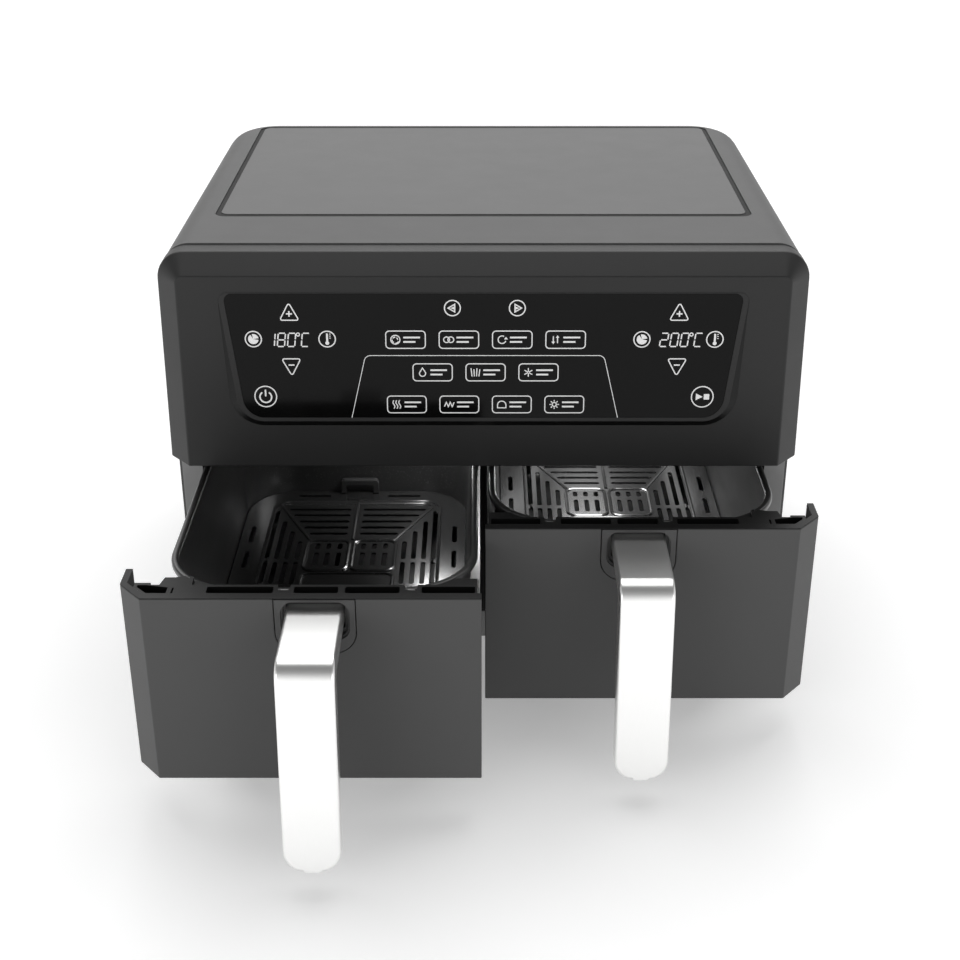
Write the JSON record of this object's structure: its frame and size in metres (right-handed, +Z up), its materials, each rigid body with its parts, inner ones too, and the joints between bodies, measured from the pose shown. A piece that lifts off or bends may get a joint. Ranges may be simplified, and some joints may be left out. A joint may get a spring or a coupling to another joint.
{
  "type": "two-drawer air fryer",
  "caption": "Countertop air fryer with two side-by-side sliding drawers, steel strap handles, lift-out crisper trays and an angular control head with a touch panel.",
  "frame": {"origin": "middle of the footprint of the whole machine with both drawers as shown, on the worktop", "axes": "+Z up, +Y from the drawers towards the back of the machine, +X to the right as seen from the front"},
  "size_m": [0.4, 0.5728, 0.2874],
  "materials": {
    "body_plastic": "fine satin moulded grey",
    "top_plate": "satin grey paint",
    "head_plastic": "satin charcoal",
    "bezel_plastic": "semi-gloss black",
    "control_glass": "gloss black touch glass with lit symbols",
    "circuit_board": "green solder mask",
    "dark_plastic": "matt black",
    "rubber": "matt black",
    "frame_plastic": "satin light grey",
    "front_plastic": "satin charcoal",
    "steel_sheet": "aluminised sheet",
    "heater_steel": "dark oxidised tube",
    "motor_steel": "zinc plated can",
    "bright_steel": "plated",
    "display": "dark display window",
    "pan_coating": "black non-stick coating",
    "tray_coating": "glossy black non-stick coating",
    "handle_steel": "satin stainless steel"
  },
  "bodies": {
    "machine": {"outer_housing": "body_plastic", "top_plate": "top_plate", "fascia": "head_plastic", "control_bezel": "bezel_plastic", "control_glass": "control_glass", "control_board": "circuit_board", "power_board": "circuit_board", "base_plate": "dark_plastic", "rear_cover": "body_plastic", "cord_inlet": "rubber", "front_frame": "frame_plastic", "centre_post": "dark_plastic", "cavity_floor": "steel_sheet", "front_left_foot": "rubber", "front_right_foot": "rubber", "rear_left_foot": "rubber", "rear_right_foot": "rubber", "left_cavity_liner": "steel_sheet", "left_heater_coil": "heater_steel", "left_heater_guard": "steel_sheet", "left_fan_motor": "motor_steel", "left_temperature_probe": "bright_steel", "left_display": "display", "left_drawer_switch": "dark_plastic", "right_cavity_liner": "steel_sheet", "right_heater_coil": "heater_steel", "right_heater_guard": "steel_sheet", "right_fan_motor": "motor_steel", "right_temperature_probe": "bright_steel", "right_display": "display", "right_drawer_switch": "dark_plastic"},
    "left_fan": {"left_convection_fan": "steel_sheet", "left_cooling_fan": "dark_plastic", "left_fan_shaft": "bright_steel"},
    "left_drawer": {"left_drawer_front": "front_plastic", "left_drawer_bracket": "dark_plastic", "left_pan": "pan_coating", "left_handle_hub": "front_plastic", "left_handle_strap": "handle_steel", "left_handle_grip": "dark_plastic", "left_handle_screw": "bright_steel"},
    "left_tray": {"left_crisper_tray": "tray_coating", "left_tray_front_bumper": "rubber", "left_tray_rear_bumper": "rubber"},
    "right_fan": {"right_convection_fan": "steel_sheet", "right_cooling_fan": "dark_plastic", "right_fan_shaft": "bright_steel"},
    "right_drawer": {"right_drawer_front": "front_plastic", "right_drawer_bracket": "dark_plastic", "right_pan": "pan_coating", "right_handle_hub": "front_plastic", "right_handle_strap": "handle_steel", "right_handle_grip": "dark_plastic", "right_handle_screw": "bright_steel"},
    "right_tray": {"right_crisper_tray": "tray_coating", "right_tray_front_bumper": "rubber", "right_tray_rear_bumper": "rubber"}
  },
  "joints": [
    {"name": "left_drawer_slide", "type": "slide", "parent": "machine", "child": "left_drawer", "axis": [0, -1, 0], "range_m": [-0.1597, 0.1003]},
    {"name": "right_drawer_slide", "type": "slide", "parent": "machine", "child": "right_drawer", "axis": [0, -1, 0], "range_m": [-0.0795, 0.1805]},
    {"name": "left_tray_lift", "type": "slide", "parent": "left_drawer", "child": "left_tray", "axis": [0, 0, 1], "range_m": [0, 0.079]},
    {"name": "right_tray_lift", "type": "slide", "parent": "right_drawer", "child": "right_tray", "axis": [0, 0, 1], "range_m": [0, 0.079]},
    {"name": "left_fan_spin", "type": "hinge", "parent": "machine", "child": "left_fan", "pos_m": [-0.09175, 0.11185, 0.18], "axis": [0, 0, 1], "continuous": true},
    {"name": "right_fan_spin", "type": "hinge", "parent": "machine", "child": "right_fan", "pos_m": [0.09175, 0.11185, 0.18], "axis": [0, 0, 1], "continuous": true}
  ]
}
